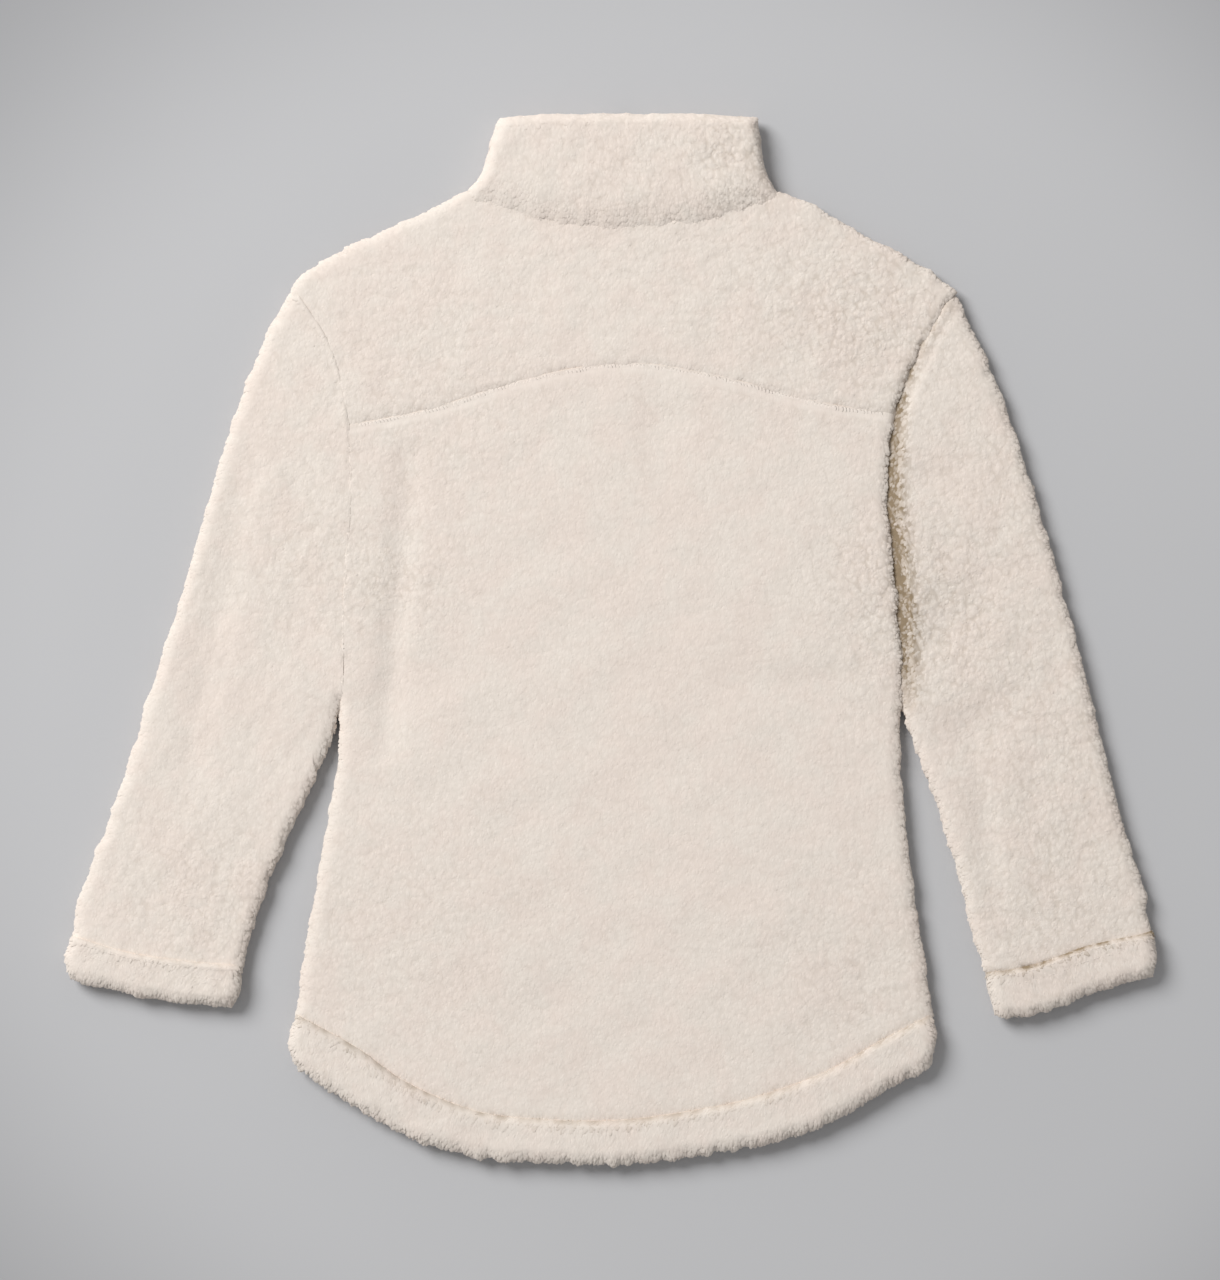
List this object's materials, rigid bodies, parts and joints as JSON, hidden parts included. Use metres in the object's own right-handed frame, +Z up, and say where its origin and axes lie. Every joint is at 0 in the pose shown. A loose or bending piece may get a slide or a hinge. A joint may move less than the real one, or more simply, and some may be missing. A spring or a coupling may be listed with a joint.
{
  "type": "fleece jacket",
  "caption": "Long-sleeved high-pile fleece jacket with stand collar, arched back yoke, banded cuffs, curved drop-tail hem band and full front zip, laid flat on its front.",
  "frame": {"origin": "centre of the outline on the surface it lies on, under the middle of the back", "axes": "+Z up from the surface through the front and then the back, +X across towards the wearer's right sleeve, +Y towards the collar"},
  "size_m": [0.7856, 0.756, 0.0192],
  "materials": {
    "fleece": "matte",
    "tape": "matte",
    "zip_plastic": "satin"
  },
  "bodies": {
    "jacket": {"back_yoke": "fleece", "back_body": "fleece", "front_left": "fleece", "front_right": "fleece", "sleeve_left": "fleece", "sleeve_right": "fleece", "cuff_left": "fleece", "cuff_right": "fleece", "collar": "fleece", "hem_band": "fleece", "zip_tape_left": "tape", "zip_tape_right": "tape", "zip_teeth": "zip_plastic", "zip_box": "zip_plastic", "zip_stop_left": "zip_plastic", "zip_stop_right": "zip_plastic", "zip_slider": "zip_plastic"},
    "pull_tab": {"zip_pull": "zip_plastic"}
  },
  "joints": [
    {"name": "pull_swing", "type": "hinge", "parent": "jacket", "child": "pull_tab", "pos_m": [0.00899, 0.35201, 0.00185], "axis": [1, 0, 0], "range_deg": [0, 170]}
  ]
}
